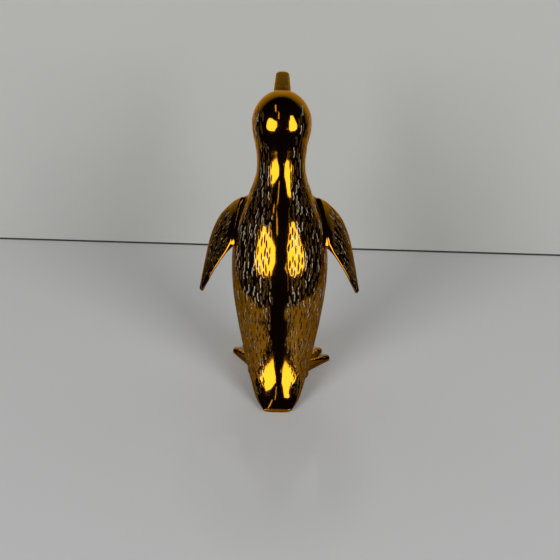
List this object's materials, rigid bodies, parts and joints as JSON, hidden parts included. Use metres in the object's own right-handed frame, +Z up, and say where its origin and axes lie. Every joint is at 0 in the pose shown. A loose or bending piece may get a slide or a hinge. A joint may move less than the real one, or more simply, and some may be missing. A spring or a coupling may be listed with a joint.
{
  "type": "penguin figurine",
  "caption": "Polished brass penguin standing on two feet and its tail, head raised and wings held out; hollow casting in two halves with brazed-on wings, feet and beak.",
  "frame": {"origin": "centre of the bounding box's base, on the surface the penguin stands on", "axes": "+Z up, +Y the way the penguin faces, +X towards its right wing"},
  "size_m": [0.1082, 0.1096, 0.1969],
  "materials": {
    "polished_brass": "polished cast brass with punched strokes",
    "braze": "filed and polished brazing filler"
  },
  "bodies": {
    "root": {"body_left_half": "polished_brass", "body_right_half": "polished_brass", "seam_braze_back": "braze", "seam_braze_front": "braze", "wing_left": "polished_brass", "wing_right": "polished_brass", "wing_braze_left": "braze", "wing_braze_right": "braze", "foot_left": "polished_brass", "foot_right": "polished_brass", "ankle_braze_left": "braze", "ankle_braze_right": "braze", "beak": "polished_brass", "beak_braze": "braze"}
  },
  "joints": []
}
